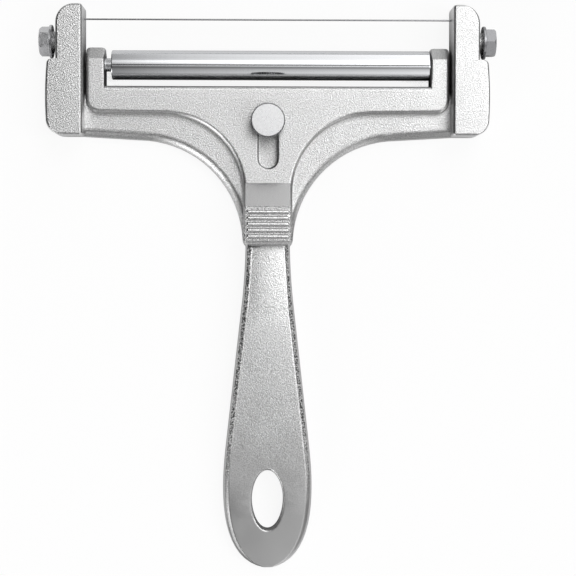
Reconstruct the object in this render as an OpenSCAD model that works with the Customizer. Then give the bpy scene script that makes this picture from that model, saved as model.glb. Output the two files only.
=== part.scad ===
// Wire cheese slicer with a sliding roller that sets the thickness of the slice.
// It lies on its flat back: X runs along the wire, +Y towards the wire, +Z towards the front.

/* [Arms] */
// Whole length, from the arm tips to the end of the handle
overall_l = 154; // [145:0.1:165]
// Clear cutting width between the arms
arm_gap = 100; // [90:0.5:120]
// Width of an arm beside the wire
arm_tip_w = 7.2; // [6.5:0.1:9]
// Width of an arm below the ledge
arm_foot_w = 10; // [9:0.1:12]
// Depth of an arm, back to front
arm_depth = 11.5; // [11:0.1:14]
// Arm tip to the lower edge of the arm
arm_l = 35.2; // [34:0.1:40]
// Arm tip to the ledge under the bolt
arm_ledge_drop = 14.9; // [14.8:0.1:17]
// Radius of the outer corner at the arm tip
arm_tip_r = 5; // [3:0.1:5.5]
// Radius of the outer corner at the arm's foot
arm_foot_r = 3.8; // [3:0.1:6]
// How far the outer side of an arm bulges below the ledge
arm_bulge = 0.5; // [0.1:0.1:0.8]
// Rounding along the edges of an arm
arm_edge_r = 0.7; // [0.5:0.1:1.4]
// Radius of the ledge's outer corner
arm_ledge_r = 1; // [0.5:0.1:1.5]

/* [Yoke and neck] */
// Thickness of the yoke that the carrier slides on
yoke_t = 5; // [4.5:0.1:6]
// Arm tip to the top edge of the yoke
yoke_top_drop = 23.1; // [23:0.1:25]
// How far the yoke hangs below the arms
yoke_sag = 0.9; // [0.3:0.1:2]
// Radius of the sweep from yoke to neck
yoke_sweep_r = 28.7; // [26:0.1:31]
// Width of the neck
neck_w = 13.8; // [13:0.1:16]
// Rounding along the front edge of the yoke
yoke_edge_r = 2.5; // [1.5:0.1:3]
// Rounding along the back edges of yoke and carrier
back_edge_r = 0.6; // [0.3:0.1:1]

/* [Handle] */
// Width at the top of the handle
handle_top_w = 12.2; // [10:0.1:12.4]
// Width at the swell round the hang hole
handle_end_w = 24.6; // [20:0.1:28]
// Length of the flare at the top of the handle
handle_flare_l = 20; // [15:0.5:25]
// How much each side spreads over that flare
handle_flare_in = 1.2; // [0.8:0.1:1.8]
// Slope of each side below the flare
handle_side_slope = 0.112; // [0.08:0.001:0.15]
// Length over which the sides turn into the swell
handle_turn_l = 14.5; // [10:0.5:20]
// How much each side still spreads over that turn
handle_turn_in = 1.1; // [0.6:0.1:1.5]
// Swell to the end of the handle
handle_swell_l = 22.4; // [19:0.1:26]
// Height of the handle's crest
handle_crest = 9.6; // [9:0.1:11]
// Arm tip to that crest
handle_crest_drop = 90.5; // [85:0.5:100]
// Radius of the long curve of the handle's front
handle_crown_r = 310; // [270:5:500]
// Width of the rounded shoulder along the front
handle_shoulder_w = 1.5; // [0.8:0.1:2.2]
// Height of that shoulder
handle_shoulder_h = 1; // [0.8:0.1:2.6]
// How flat that shoulder is, from 0 for a quarter round to 1 for a plain bevel
handle_shoulder_flat = 0.6; // [0:0.05:0.9]
// Taper of the handle's sides, per side
handle_draft = 0.5; // [0.1:0.1:1]
// Width of the hang hole
hang_w = 8.6; // [6:0.1:11]
// Length of the hang hole
hang_l = 16.9; // [12:0.1:19]
// End of the handle to the middle of the hang hole
hang_rise = 19.1; // [18:0.1:21]
// Rounding of the hang hole's mouth
hang_edge_r = 0.7; // [0.3:0.1:1]

/* [Carrier] */
// Arm tip to the roller's axis, carrier at its lowest
roller_drop = 15.8; // [15.5:0.1:17]
// Thickness of the carrier's plate
plate_t = 3; // [2.5:0.1:4]
// Arm tip to the plate's top edge
plate_top_drop = 21.7; // [21.5:0.1:22.5]
// Arm tip to the plate's lower edge
plate_low_drop = 29.3; // [29:0.1:32]
// Radius of the sweep from plate to tail
plate_sweep_r = 21.5; // [18:0.1:24]
// Radius of the plate's outer lower corners
plate_corner_r = 3.7; // [2:0.1:4.5]
// Rounding along the front edge of the plate
plate_edge_r = 1.2; // [0.6:0.1:1.6]
// Width of the tail
tail_w = 13.4; // [12.4:0.1:13.6]
// Gap between an ear and its arm
ear_gap = 0.5; // [0.3:0.1:1]
// Width of an ear
ear_w = 5.2; // [4.5:0.1:6]
// Roller's axis to the top of an ear
ear_rise = 4.7; // [4.2:0.1:5]
// Depth of the bevel on top of an ear
ear_bevel = 3.3; // [2:0.1:3.6]
// Depth of the bevel behind it
ear_back_bevel = 2.3; // [1:0.1:2.6]
// Rounding of an ear's upper corners
ear_edge_r = 0.7; // [0.3:0.1:1]
// Height of an ear's back above the back of the arms
ear_lift = 0.4; // [0.3:0.1:1]
// Width of the slot
slot_w = 5; // [4.6:0.1:6]
// Rounding of the slot's mouth
slot_edge_r = 0.7; // [0.3:0.1:0.9]
// Arm tip to the lower end of the slot
slot_low_drop = 43.9; // [43:0.1:46]
// Arm tip to the foot of the ramp
ramp_drop = 48; // [47.5:0.1:50]
// Length of the ramp
ramp_l = 6.3; // [5:0.1:7]
// Height of the thumb pad above the plate
pad_h = 4; // [3:0.1:5]
// Width of the thumb pad
pad_w = 12.2; // [10:0.1:12.3]
// Arm tip to the end of the pad's nose
pad_nose_drop = 65.2; // [65:0.1:68]
// How far the nose hangs over the top of the handle
pad_nose_over = 2.9; // [2:0.1:3.5]
// Radius of the pad's lower corners, seen from the front
pad_corner_r = 2; // [1:0.1:3]
// Rounding of the pad's nose
pad_nose_r = 1.7; // [1:0.1:2]
// Number of ribs on the thumb pad
rib_count = 5; // [3:1:6]
// Distance from rib to rib
rib_pitch = 1.65; // [1.4:0.05:1.8]
// Radius of a rib
rib_r = 0.6; // [0.4:0.05:0.65]

/* [Roller] */
// Diameter of the roller
roller_d = 8; // [7:0.1:8.2]
// Wall of the roller's tube
roller_wall = 1; // [0.6:0.1:1.4]
// End play of the roller between the ears, both ends together
roller_play = 2; // [1:0.1:4]
// How far the roller has run to the right
roller_shift = 0.8; // [0:0.1:1]
// Diameter of the axle
axle_d = 3.6; // [3:0.1:4]
// Length of the bush in each end of the tube
bush_l = 6; // [4:0.5:10]
// Height of the axle above the back
axle_z = 4.3; // [4.2:0.1:4.6]

/* [Wire] */
// Diameter of the cutting wire
wire_d = 0.45; // [0.4:0.05:0.7]
// Arm tip to the wire
wire_drop = 3.5; // [3.4:0.1:4.2]
// Height of the wire above the back
wire_z = 5.2; // [4.8:0.1:5.6]
// Bend radius where the wire turns down the arm
wire_bend_r = 0.8; // [0.6:0.1:1.2]
// Diameter of the crimped sleeve on each end
sleeve_d = 1.7; // [1.3:0.1:1.8]
// Length of that sleeve
sleeve_l = 4.5; // [3:0.1:5]

/* [Screws] */
// Thread diameter of the bolts and the thumb screw
thread_d = 4; // [3.5:0.1:4.2]
// Bolt head across flats
bolt_flats = 7; // [6:0.1:8]
// Height of a bolt head
bolt_head_h = 2.7; // [2:0.1:3.5]
// Arm tip to the bolt's axis
bolt_drop = 9.7; // [9.6:0.1:10.4]
// Height of the bolt's axis above the back
bolt_z = 6; // [5.8:0.1:6.4]
// Diameter of the washer under a bolt
washer_d = 9; // [8:0.1:9.4]
// Thickness of every washer
washer_t = 0.8; // [0.5:0.1:1.2]
// Height of the boss that a washer is pulled against
boss_h = 1.2; // [1:0.1:1.6]
// Diameter of that boss
boss_d = 5.4; // [5.2:0.1:5.8]
// Solid wall left between a bolt's hole and the inside of its arm
bolt_wall = 1.2; // [0.8:0.1:2]
// Diameter of the thumb screw's head
knob_d = 9.4; // [8:0.1:11]
// Height of the thumb screw's head
knob_h = 4.6; // [3:0.1:6]
// Rounding round the face of that head
knob_edge_r = 1; // [0.5:0.1:1.4]
// Number of knurls round that head
knurl_count = 36; // [24:2:48]
// Depth of a knurl
knurl_depth = 0.3; // [0.1:0.05:0.4]
// Arm tip to the thumb screw's axis
knob_drop = 31.3; // [30.8:0.1:32]
// Diameter of the thumb screw's washer
thumb_washer_d = 8.2; // [7:0.1:9]

/* [Fits] */
// Radial clearance of what turns or slides on a pin
running_gap = 0.05; // [0.03:0.01:0.1]
// Gap under the carrier, and where parts pass each other
slide_gap = 0.05; // [0.03:0.01:0.1]
// Clearance where a casting meets another or a wire lies in a groove
cast_gap = 0.4; // [0.3:0.05:0.6]

/* [Hidden] */
$fn = 64;
ARC_STEPS = 6;
LEFT = -1;
RIGHT = 1;
CASTING = "gainsboro";
STEEL = "silver";
over = 1;
corner_spare = 0.2;
// A hair's breadth, where one step or cut laps over the next
hair = 0.02;
// Greatest share of a side that a rounded corner takes
ROUND_SHARE = 0.45;

// Places along Y, all taken from the arm tips
tip_y = overall_l / 2;
end_y = -overall_l / 2;
foot_y = tip_y - arm_l;
ledge_y = tip_y - arm_ledge_drop;
yoke_top_y = tip_y - yoke_top_drop;
yoke_low_y = foot_y - yoke_sag;
wire_y = tip_y - wire_drop;
bolt_y = tip_y - bolt_drop;
axle_y = tip_y - roller_drop;
ear_top_y = axle_y + ear_rise;
plate_top_y = tip_y - plate_top_drop;
plate_low_y = tip_y - plate_low_drop;
knob_y = tip_y - knob_drop;
slot_low_y = tip_y - slot_low_drop;
ramp_y = tip_y - ramp_drop;
nose_y = tip_y - pad_nose_drop;
crest_y = tip_y - handle_crest_drop;
swell_y = end_y + handle_swell_l;
hang_y = end_y + hang_rise;

// Places along X and Z
arm_x = arm_gap / 2;
arm_tip_x = arm_x + arm_tip_w;
arm_foot_x = arm_x + arm_foot_w;
ear_x = arm_x - ear_gap;
ear_in_x = ear_x - ear_w;
seat_x = arm_tip_x + boss_h;
plate_back_z = yoke_t + slide_gap;
plate_front_z = plate_back_z + plate_t;
pad_z = plate_front_z + pad_h;
roller_l = 2 * ear_in_x - roller_play;
roller_x = min(roller_shift, roller_play / 2 - running_gap);

// The yoke and the plate each sweep into what hangs below them in one arc
sweep_c = [neck_w / 2 + yoke_sweep_r, yoke_low_y - yoke_sweep_r];
plate_sweep_c = [tail_w / 2 + plate_sweep_r, plate_low_y - plate_sweep_r];

// The pad's nose hangs over the top of the handle, and the tail stops short of it
tail_y = nose_y + pad_nose_over;
handle_y = tail_y - cast_gap;

// The wire's leg runs down behind the boss to its sleeve, close to the arm
leg_x = seat_x - slide_gap - sleeve_d / 2;
sleeve_z = bolt_z - boss_d / 2 - slide_gap * 2 - sleeve_d / 2;
sleeve_top_y = bolt_y + sleeve_l / 2 - over;
leg_dy = wire_y - sleeve_top_y;
leg_dz = wire_z - sleeve_z;
leg_l = sqrt(leg_dy * leg_dy + leg_dz * leg_dz);
leg_tilt = atan2(leg_dz, leg_dy);

// Outline helpers
function arc(c, r, a0, a1, n = ARC_STEPS) =
    [for (i = [0:n]) let (a = a0 + (a1 - a0) * i / n) c + r * [cos(a), sin(a)]];
function joined(lists) = [for (l = lists) for (p = l) p];
function unit(v) = v / norm(v);
function outward(a, b) = let (d = unit(b - a)) [-d.y, d.x];
function mitre(a, p, b) = let (m = outward(a, p), n = outward(p, b)) (m + n) / (1 + m * n);
function flipped(p) = [-p.x, p.y];

// Right half of an outline drawn in by d, from its top to its bottom
function drawn_in(half, d) = let (last = len(half) - 1) [
    for (i = [0:last])
        let (before = i == 0 ? flipped(half[0]) : half[i - 1])
        let (after = i == last ? flipped(half[last]) : half[i + 1])
        half[i] - d * mitre(before, half[i], after)
];

// How far a quarter round of radius r is drawn in at distance t from its end
function round_in(t, r) = t >= r ? 0 : r - sqrt(max(0, r * r - (r - t) * (r - t)));

// A symmetric plate with rounded edges, from the right half of its outline
module rounded_plate(half, z0, z1, back_r, front_r) {
    m = len(half);
    steps = 4;
    levels = joined([
        [for (i = [0:steps - 1]) let (a = 90 * i / steps) [back_r * (1 - sin(a)), z0 + back_r * (1 - cos(a))]],
        [for (i = [0:steps]) let (a = 90 * i / steps) [front_r * (1 - cos(a)), z1 - front_r * (1 - sin(a))]]
    ]);
    rings = [
        for (level = levels) let (h = drawn_in(half, level[0])) joined([
            [for (p = h) [-p.x, p.y, level[1]]],
            [for (i = [m - 1:-1:0]) [h[i].x, h[i].y, level[1]]]
        ])
    ];
    top = (len(rings) - 1) * 2 * m;
    polyhedron(joined(rings), joined([
        ring_faces(len(rings), 2 * m),
        [for (i = [0:m - 2]) [i, i + 1, 2 * m - 2 - i]],
        [for (i = [0:m - 2]) [i, 2 * m - 2 - i, 2 * m - 1 - i]],
        [for (i = [0:m - 2]) [top + i, top + 2 * m - 2 - i, top + i + 1]],
        [for (i = [0:m - 2]) [top + i, top + 2 * m - 1 - i, top + 2 * m - 2 - i]]
    ]));
}

// Triangles between rings of n points each
function ring_faces(rings, n) = [
    for (k = [0:rings - 2]) for (j = [0:n - 1])
        let (a = k * n + j, b = k * n + (j + 1) % n)
        for (f = [[a, b + n, b], [a, a + n, b + n]]) f
];

// A skin over convex rings of points, closed by a flat end at each side
module loft(rings) {
    n = len(rings[0]);
    top = (len(rings) - 1) * n;
    polyhedron(joined(rings), joined([
        ring_faces(len(rings), n),
        [for (j = [1:n - 2]) [0, j, j + 1]],
        [for (j = [1:n - 2]) [top, top + j + 1, top + j]]
    ]));
}

// A rod along X between two ends
module rod(x0, x1, d, y, z) {
    translate([x0, y, z])
        rotate([0, 90, 0])
            cylinder(h = x1 - x0, d = d);
}

// Arm: rounded rectangles from foot to tip, with the ledge under the bolt
function arm_bow(y) =
    let (u = (y - foot_y) / (ledge_y - foot_y))
    arm_bulge * (1 - 4 * u * (1 - u));

function arm_out(y) =
    (y > ledge_y ? arm_tip_x : arm_foot_x - arm_bow(y) - round_in(ledge_y - y, arm_ledge_r))
    - round_in(y - foot_y, arm_foot_r)
    - round_in(tip_y - y, arm_tip_r);

function arm_ring(y) =
    let (e = max(round_in(y - foot_y, arm_edge_r), round_in(tip_y - y, arm_edge_r)))
    let (x0 = arm_x + e, x1 = arm_out(y), z0 = e, z1 = arm_depth - e)
    let (r = min(arm_edge_r, (x1 - x0) * ROUND_SHARE))
    [for (c = [[x1 - r, z1 - r, 0], [x1 - r, z0 + r, 90], [x0 + r, z0 + r, 180], [x0 + r, z1 - r, 270]])
        for (i = [0:3]) let (a = c[2] + 30 * i) [c[0] + r * sin(a), y, c[1] + r * cos(a)]];

module arm() {
    steps = 8;
    turn = 90 / steps;
    side_y = foot_y + arm_foot_r;
    side_l = ledge_y - arm_ledge_r - side_y;
    loft([for (y = joined([
        [for (i = [0:steps]) foot_y + arm_foot_r * (1 - cos(turn * i))],
        [for (i = [1:steps - 1]) side_y + side_l * i / steps],
        [for (i = [steps:-2:0]) ledge_y - arm_ledge_r * (1 - cos(turn * i))],
        [ledge_y + hair],
        [for (i = [steps:-1:0]) tip_y - arm_tip_r * (1 - cos(turn * i))]
    ])) arm_ring(y)]);
}

// Yoke and neck, whose ends run into the arms and the handle
module yoke() {
    corner = yoke_edge_r + corner_spare;
    corner_y = handle_y - 2 * corner_spare;
    turn = 180 - asin(max(0, corner_y - sweep_c.y) / yoke_sweep_r);
    neck_x = sweep_c.x + yoke_sweep_r * cos(turn);
    wing_x = arm_x + arm_tip_w / 2;
    rounded_plate(joined([
        arc([wing_x - corner, yoke_top_y - corner], corner, 90, 0),
        arc([wing_x - corner, foot_y + corner], corner, 0, -90),
        arc(sweep_c, yoke_sweep_r, 90, turn, 18),
        arc([neck_x - corner, corner_y - corner_spare], corner, 0, -90)
    ]), 0, yoke_t, back_edge_r, yoke_edge_r);
}

// Handle: its half width follows easy curves between a few stations, then a full round end
HANDLE_STATIONS = [
    [handle_y, handle_top_w / 2, 0],
    [handle_y - handle_flare_l, handle_top_w / 2 + handle_flare_in, handle_side_slope],
    [swell_y + handle_turn_l, handle_end_w / 2 - handle_turn_in, handle_side_slope],
    [swell_y, handle_end_w / 2, 0]
];
END_POWER = 2.35;
END_TURN = 85;

function eased(a, b, t) =
    let (l = a[0] - b[0], s = t * t * (3 - 2 * t))
    [a[0] - l * t, a[1] + (b[1] - a[1]) * s + l * (a[2] * t * (1 - t) * (1 - t) - b[2] * t * t * (1 - t))];

function crown(y) = handle_crest - handle_crown_r
    + sqrt(handle_crown_r * handle_crown_r - (y - crest_y) * (y - crest_y));

function shoulder_drop(a) =
    handle_shoulder_flat * sin(a) + (1 - handle_shoulder_flat) * (1 - cos(a));

function handle_ring(y, w) =
    let (k = min(1, w / (2 * (handle_shoulder_w + handle_draft))))
    let (f = crown(y), d = handle_draft * k, sw = handle_shoulder_w * k, sh = handle_shoulder_h * k)
    let (b = back_edge_r * k)
    let (side = joined([
        [for (a = [0:22.5:90]) [w - d - sw * (1 - sin(a)), f - sh * shoulder_drop(a)]],
        [for (a = [0:30:90]) [w - b * (1 - cos(a)), b * (1 - sin(a))]]
    ]))
    joined([
        [for (p = side) [p.x, y, p.y]],
        [for (i = [len(side) - 1:-1:0]) [-side[i].x, y, side[i].y]]
    ]);

module handle() {
    end_steps = 12;
    end_l = handle_swell_l / sin(END_TURN);
    round_end = [for (i = [end_steps:-1:1])
        let (s = sin(END_TURN * i / end_steps))
        [swell_y - end_l * s, handle_end_w / 2 * pow(1 - pow(s, END_POWER), 1 / END_POWER)]];
    grip = [for (k = [2:-1:0]) for (i = [6:-1:1]) eased(HANDLE_STATIONS[k], HANDLE_STATIONS[k + 1], i / 6)];
    top = [[handle_y, handle_top_w / 2]];
    loft([for (s = joined([round_end, grip, top])) handle_ring(s[0], s[1])]);
}

// Oval hang hole with a rounded mouth on both faces
module hang_hole() {
    sides = 40;
    front = crown(hang_y);
    function oval(z, e) =
        [for (i = [0:sides - 1]) let (a = 360 * i / sides)
            let (x = (hang_w / 2 + e) * cos(a), y = (hang_l / 2 + e) * sin(a))
            [x, hang_y + y, z + (z > front / 2 ? crown(hang_y + y) - front : 0)]];
    r = hang_edge_r;
    loft([
        oval(-over, r + over), oval(0, r), oval(r * 0.3, r * 0.3), oval(r, 0),
        oval(front - r, 0), oval(front - r * 0.3, r * 0.3), oval(front, r), oval(front + over, r + over)
    ]);
}

module bolt_boss() {
    inner = arm_x + bolt_wall;
    rod(inner, seat_x, boss_d, bolt_y, bolt_z);
}

module arm_holes() {
    inner = arm_x + bolt_wall;
    groove_d = sleeve_d + cast_gap;
    rod(inner, seat_x + over, thread_d + 2 * running_gap, bolt_y, bolt_z);
    rod(arm_x - over, seat_x + over, wire_d + cast_gap, wire_y, wire_z);
    difference() {
        translate([leg_x, sleeve_top_y + cast_gap, sleeve_z])
            rotate([90, 0, 0])
                cylinder(h = sleeve_l + 2 * cast_gap, d = groove_d);
        rod(inner - over, seat_x, boss_d, bolt_y, bolt_z);
    }
}

module each_side() {
    children();
    mirror([1, 0, 0])
        children();
}

module handle_frame() {
    color(CASTING)
        difference() {
            union() {
                yoke();
                handle();
                each_side()
                    arm();
                each_side()
                    bolt_boss();
            }
            each_side()
                arm_holes();
            hang_hole();
            translate([0, knob_y, -over])
                cylinder(h = yoke_t + 2 * over, d = thread_d + 2 * running_gap);
        }
}

// Carrier plate with its swept tail
module plate() {
    corner = plate_edge_r + corner_spare;
    tail_x = tail_w / 2;
    rounded_plate(joined([
        arc([ear_x - corner, plate_top_y - corner], corner, 90, 0),
        arc([ear_x - plate_corner_r, plate_low_y + plate_corner_r + corner_spare], plate_corner_r, 0, -90),
        arc(plate_sweep_c, plate_sweep_r, 90, 180, 16),
        arc([tail_x - corner, tail_y + corner], corner, 0, -90)
    ]), plate_back_z, plate_front_z, back_edge_r / 2, plate_edge_r);
}

// Ear: rounded rectangles from root to top, bevelled at front and back, with round upper corners
function ear_ring(y, back_z) =
    let (e = round_in(ear_top_y - y, ear_edge_r), x0 = ear_in_x + e, x1 = ear_x - e)
    let (z0 = back_z + max(0, y - (ear_top_y - ear_back_bevel)))
    let (z1 = plate_front_z - max(0, y - (ear_top_y - ear_bevel)))
    let (f = min(plate_edge_r, (z1 - z0) * ROUND_SHARE), b = min(back_edge_r, (z1 - z0) * ROUND_SHARE))
    [for (c = [[x1 - f, z1 - f, f, 0], [x1 - b, z0 + b, b, 90], [x0 + b, z0 + b, b, 180], [x0 + b, z1 - b, b, 270]])
        for (i = [0:4]) let (a = c[3] + 22.5 * i) [c[0] + c[2] * sin(a), y, c[1] + c[2] * cos(a)]];

module ear() {
    root_y = plate_top_y - plate_edge_r - over;
    low_y = yoke_top_y + cast_gap;
    bevel_y = ear_top_y - ear_bevel;
    back_bevel_y = ear_top_y - ear_back_bevel;
    loft(joined([
        [ear_ring(root_y, plate_back_z), ear_ring(low_y, plate_back_z), ear_ring(low_y + hair, ear_lift)],
        [for (y = [min(bevel_y, back_bevel_y), max(bevel_y, back_bevel_y)]) ear_ring(y, ear_lift)],
        [for (i = [4:-1:0]) ear_ring(ear_top_y - ear_edge_r * (1 - cos(22.5 * i)), ear_lift)]
    ]));
}

// Ramp and thumb pad: the side view across the pad's width, with round lower corners
module thumb_pad() {
    nose_low_z = plate_front_z + (handle_crest - plate_front_z) / 2;
    crest_end_y = nose_y + pad_nose_r;
    intersection() {
        translate([-pad_w / 2, 0, 0])
            rotate([90, 0, 90])
                linear_extrude(pad_w)
                    union() {
                        polygon([
                            [ramp_y, plate_front_z - plate_t / 2], [ramp_y, plate_front_z],
                            [ramp_y - ramp_l, pad_z], [crest_end_y, pad_z],
                            [nose_y, pad_z - pad_nose_r], [nose_y, nose_low_z],
                            [tail_y, nose_low_z], [tail_y, plate_front_z - plate_t / 2]
                        ]);
                        translate([crest_end_y, pad_z - pad_nose_r])
                            circle(pad_nose_r);
                    }
        linear_extrude(pad_z + over)
            union() {
                translate([-pad_w / 2, nose_y + pad_corner_r])
                    square([pad_w, ramp_y - nose_y]);
                translate([-pad_w / 2 + pad_corner_r, nose_y])
                    square([pad_w - 2 * pad_corner_r, ramp_y - nose_y]);
                for (x = [-1, 1] * (pad_w / 2 - pad_corner_r))
                    translate([x, nose_y + pad_corner_r])
                        circle(pad_corner_r);
            }
    }
}

module ribs() {
    first_y = ramp_y - ramp_l - rib_pitch;
    reach = pad_w / 2 - rib_r - corner_spare;
    for (i = [0:rib_count - 1])
        translate([0, first_y - i * rib_pitch, pad_z]) {
            rod(-reach, reach, 2 * rib_r, 0, 0);
            for (x = [-reach, reach])
                translate([x, 0, 0])
                    sphere(rib_r);
        }
}

// Slot for the thumb screw, with a rounded mouth
module slot() {
    top_y = knob_y + (slot_w - thread_d) / 2;
    low_y = slot_low_y + slot_w / 2;
    r = slot_edge_r;
    function mouth(z, e) = [for (p = joined([
        arc([0, top_y], slot_w / 2 + e, 0, 180, 12), arc([0, low_y], slot_w / 2 + e, 180, 360, 12)
    ])) [p.x, p.y, z]];
    loft([
        for (a = [0:22.5:90]) mouth(plate_front_z - r * (1 - sin(a)), r * (1 - cos(a)) - hair),
        mouth(plate_front_z + over, r)
    ]);
    translate([0, 0, plate_back_z - over])
        linear_extrude(plate_t + 2 * over)
            union() {
                translate([-slot_w / 2, low_y])
                    square([slot_w, top_y - low_y]);
                for (y = [low_y, top_y])
                    translate([0, y])
                        circle(d = slot_w);
            }
}

module roller_carrier() {
    color(CASTING)
        difference() {
            union() {
                plate();
                each_side()
                    ear();
                thumb_pad();
                ribs();
            }
            slot();
            rod(-arm_x, arm_x, axle_d + 2 * running_gap, axle_y, axle_z);
        }
}

// Roller: a tube with a bush pressed into each end
module roller_tube() {
    color(STEEL)
        translate([roller_x, 0, 0])
            difference() {
                rod(-roller_l / 2, roller_l / 2, roller_d, axle_y, axle_z);
                rod(-roller_l, roller_l, roller_d - 2 * roller_wall, axle_y, axle_z);
            }
}

module roller_bush(side) {
    bush_d = roller_d - 2 * (roller_wall + running_gap);
    outer = side * roller_l / 2;
    inner = side * (roller_l / 2 - bush_l);
    color("dimgray")
        translate([roller_x, 0, 0])
            difference() {
                rod(min(inner, outer), max(inner, outer), bush_d, axle_y, axle_z);
                rod(-roller_l, roller_l, axle_d + 2 * running_gap, axle_y, axle_z);
            }
}

module roller_axle() {
    color(STEEL)
        rod(-ear_x, ear_x, axle_d, axle_y, axle_z);
}

// Thumb screw: knurled rim under a smooth rounded face, on a plain shank
module thumb_screw() {
    head_z = plate_front_z + washer_t;
    knob_r = knob_d / 2;
    face_r = knob_r - knurl_depth - running_gap;
    rim_h = knob_h - knob_edge_r;
    color(STEEL)
        translate([0, knob_y, 0]) {
            translate([0, 0, back_edge_r])
                cylinder(h = head_z + rim_h / 2 - back_edge_r, d = thread_d);
            translate([0, 0, head_z])
                linear_extrude(rim_h)
                    polygon([for (i = [0:2 * knurl_count - 1])
                        let (r = knob_r - (i % 2) * knurl_depth, a = 180 * i / knurl_count)
                        r * [cos(a), sin(a)]]);
            translate([0, 0, head_z + rim_h / 2])
                rotate_extrude()
                    polygon(joined([
                        [[0, 0], [face_r, 0]],
                        arc([face_r - knob_edge_r, rim_h / 2], knob_edge_r, 0, 90),
                        [[0, rim_h / 2 + knob_edge_r]]
                    ]));
        }
}

module washer(d) {
    difference() {
        cylinder(h = washer_t, d = d);
        translate([0, 0, -over])
            cylinder(h = washer_t + 2 * over, d = thread_d + 2 * running_gap);
    }
}

module thumb_washer() {
    color(STEEL)
        translate([0, knob_y, plate_front_z])
            washer(thumb_washer_d);
}

// Wire: the taut span, a bend outside each arm and a leg down behind the bolt into the sleeve
LEG_DIR = [0, -cos(leg_tilt), -sin(leg_tilt)];
WIRE_SIDE = [0, -sin(leg_tilt), cos(leg_tilt)];
BEND_C = [leg_x - wire_bend_r, wire_y, wire_z] + wire_bend_r * LEG_DIR;

// Route of the right half, from the middle outwards
WIRE_ROUTE = joined([
    [for (i = [0:8]) let (a = 90 * i / 8) BEND_C + wire_bend_r * (sin(a) * [1, 0, 0] - cos(a) * LEG_DIR)],
    [for (i = [0:4]) let (a = leg_tilt * (1 - i / 4))
        [leg_x, sleeve_top_y, sleeve_z] + wire_bend_r * [0, sin(a) - a / 90, 1 - cos(a)]],
    [[leg_x, sleeve_top_y - sleeve_l, sleeve_z]]
]);

function wire_ring(before, p, after) =
    let (t = unit(unit(p - before) + unit(after - p)))
    let (u = unit(WIRE_SIDE - (WIRE_SIDE * t) * t), v = cross(t, u))
    [for (i = [0:15]) p + wire_d / 2 * (cos(22.5 * i) * u + sin(22.5 * i) * v)];

module cutting_wire() {
    m = len(WIRE_ROUTE);
    route = joined([
        [for (i = [m - 1:-1:0]) [-WIRE_ROUTE[i].x, WIRE_ROUTE[i].y, WIRE_ROUTE[i].z]],
        WIRE_ROUTE
    ]);
    last = 2 * m - 1;
    color(STEEL)
        loft([for (i = [0:last])
            wire_ring(
                i == 0 ? 2 * route[0] - route[1] : route[i - 1],
                route[i],
                i == last ? 2 * route[last] - route[last - 1] : route[i + 1]
            )]);
}

module wire_sleeve(side) {
    color("darkgray")
        translate([side * leg_x, sleeve_top_y - wire_d, sleeve_z])
            rotate([90, 0, 0])
                difference() {
                    cylinder(h = sleeve_l - wire_d, d = sleeve_d);
                    translate([0, 0, -over])
                        cylinder(h = sleeve_l + 2 * over, d = wire_d + 2 * running_gap);
                }
}

// Hex bolt drawn pointing along +X, with its head outside
module wire_bolt(side, turn) {
    head_x = seat_x + washer_t;
    tip_x = arm_x + bolt_wall + cast_gap;
    corner_d = bolt_flats / cos(30);
    bevel = (corner_d - bolt_flats) / 2;
    color(STEEL)
        rotate([0, 0, side == LEFT ? 180 : 0])
            translate([0, side * bolt_y, bolt_z])
                rotate([0, 90, 0]) {
                    translate([0, 0, tip_x])
                        cylinder(h = head_x - tip_x + bolt_head_h / 2, d = thread_d);
                    translate([0, 0, head_x])
                        intersection() {
                            rotate([0, 0, turn])
                                cylinder(h = bolt_head_h, d = corner_d, $fn = 6);
                            rotate_extrude()
                                polygon([
                                    [0, 0], [corner_d / 2, 0], [corner_d / 2, bolt_head_h - bevel],
                                    [bolt_flats / 2, bolt_head_h], [0, bolt_head_h]
                                ]);
                        }
                }
}

module wire_washer(side) {
    color(STEEL)
        translate([side * seat_x, bolt_y, bolt_z])
            rotate([0, side * 90, 0])
                washer(washer_d);
}

// A flat of the left head and a corner of the right head face the front
LEFT_TURN = 30;
RIGHT_TURN = 0;

handle_frame();
roller_carrier();
roller_tube();
roller_bush(LEFT);  // roller_bush_left
roller_bush(RIGHT);  // roller_bush_right
roller_axle();
thumb_screw();
thumb_washer();
cutting_wire();
wire_sleeve(LEFT);  // wire_sleeve_left
wire_sleeve(RIGHT);  // wire_sleeve_right
wire_bolt(LEFT, LEFT_TURN);  // wire_bolt_left
wire_bolt(RIGHT, RIGHT_TURN);  // wire_bolt_right
wire_washer(LEFT);  // wire_washer_left
wire_washer(RIGHT);  // wire_washer_right
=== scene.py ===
import math

import bmesh
import bpy
from mathutils import Matrix, Vector


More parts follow.
